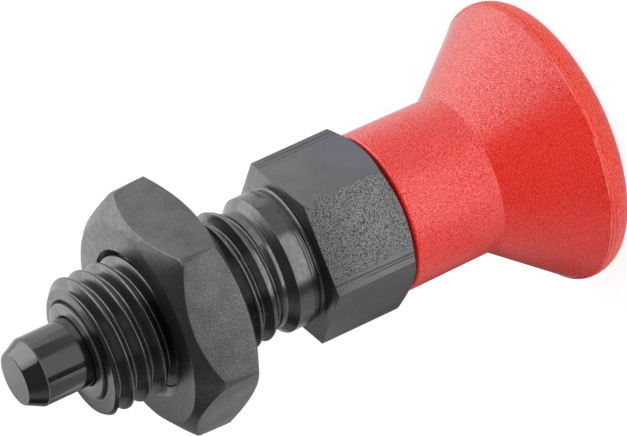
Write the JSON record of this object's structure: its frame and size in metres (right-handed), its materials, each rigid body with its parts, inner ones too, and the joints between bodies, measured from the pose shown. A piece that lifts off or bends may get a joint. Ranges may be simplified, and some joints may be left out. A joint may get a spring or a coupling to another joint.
{
  "type": "indexing plunger",
  "caption": "Spring-loaded indexing plunger: fine-threaded steel body with a hexagon collar and lock nut, a chamfered locking pin, and a flared mushroom grip that pulls the pin back.",
  "frame": {"origin": "on the axis, in the hexagon collar's front face, which seats against the plate the body is screwed into", "axes": "+Z along the axis towards the locking pin's nose; two of the collar's flats face +Y and -Y; the lock nut is clocked 6 degrees from the collar; rest is the released position, with the pin out by its full stroke"},
  "size_m": [0.025, 0.025, 0.0525],
  "materials": {
    "blackened_steel": "black oxide over turned and drawn surfaces, semi-gloss",
    "nut_steel": "black oxide, fine mottled grain on the flats",
    "bush_steel": "bright, finely faced",
    "pin_steel": "hardened and ground, glossy",
    "spring_steel": "drawn spring wire, satin",
    "red_plastic": "moulded, fine pebbled texture on neck and cone, smoother rim"
  },
  "bodies": {
    "body": {"housing": "blackened_steel", "guide_bush": "bush_steel"},
    "spring": {"compression_spring": "spring_steel"},
    "plunger": {"locking_pin": "pin_steel", "pull_knob": "red_plastic"},
    "nut": {"lock_nut": "nut_steel"}
  },
  "joints": [
    {"name": "knob_turn", "type": "hinge", "parent": "body", "child": "spring", "pos_m": [0, 0, 0], "axis": [0, 0, 1], "continuous": true},
    {"name": "knob_pull", "type": "slide", "parent": "spring", "child": "plunger", "axis": [0, 0, -1], "range_m": [0, 0.006], "stiffness_N_per_m": 2170, "springref_m": -0.0043, "deforming": ["compression_spring"]},
    {"name": "lock_nut_travel", "type": "slide", "parent": "body", "child": "nut", "axis": [0, 0, 1], "range_m": [-0.0045, 0.0045]}
  ]
}
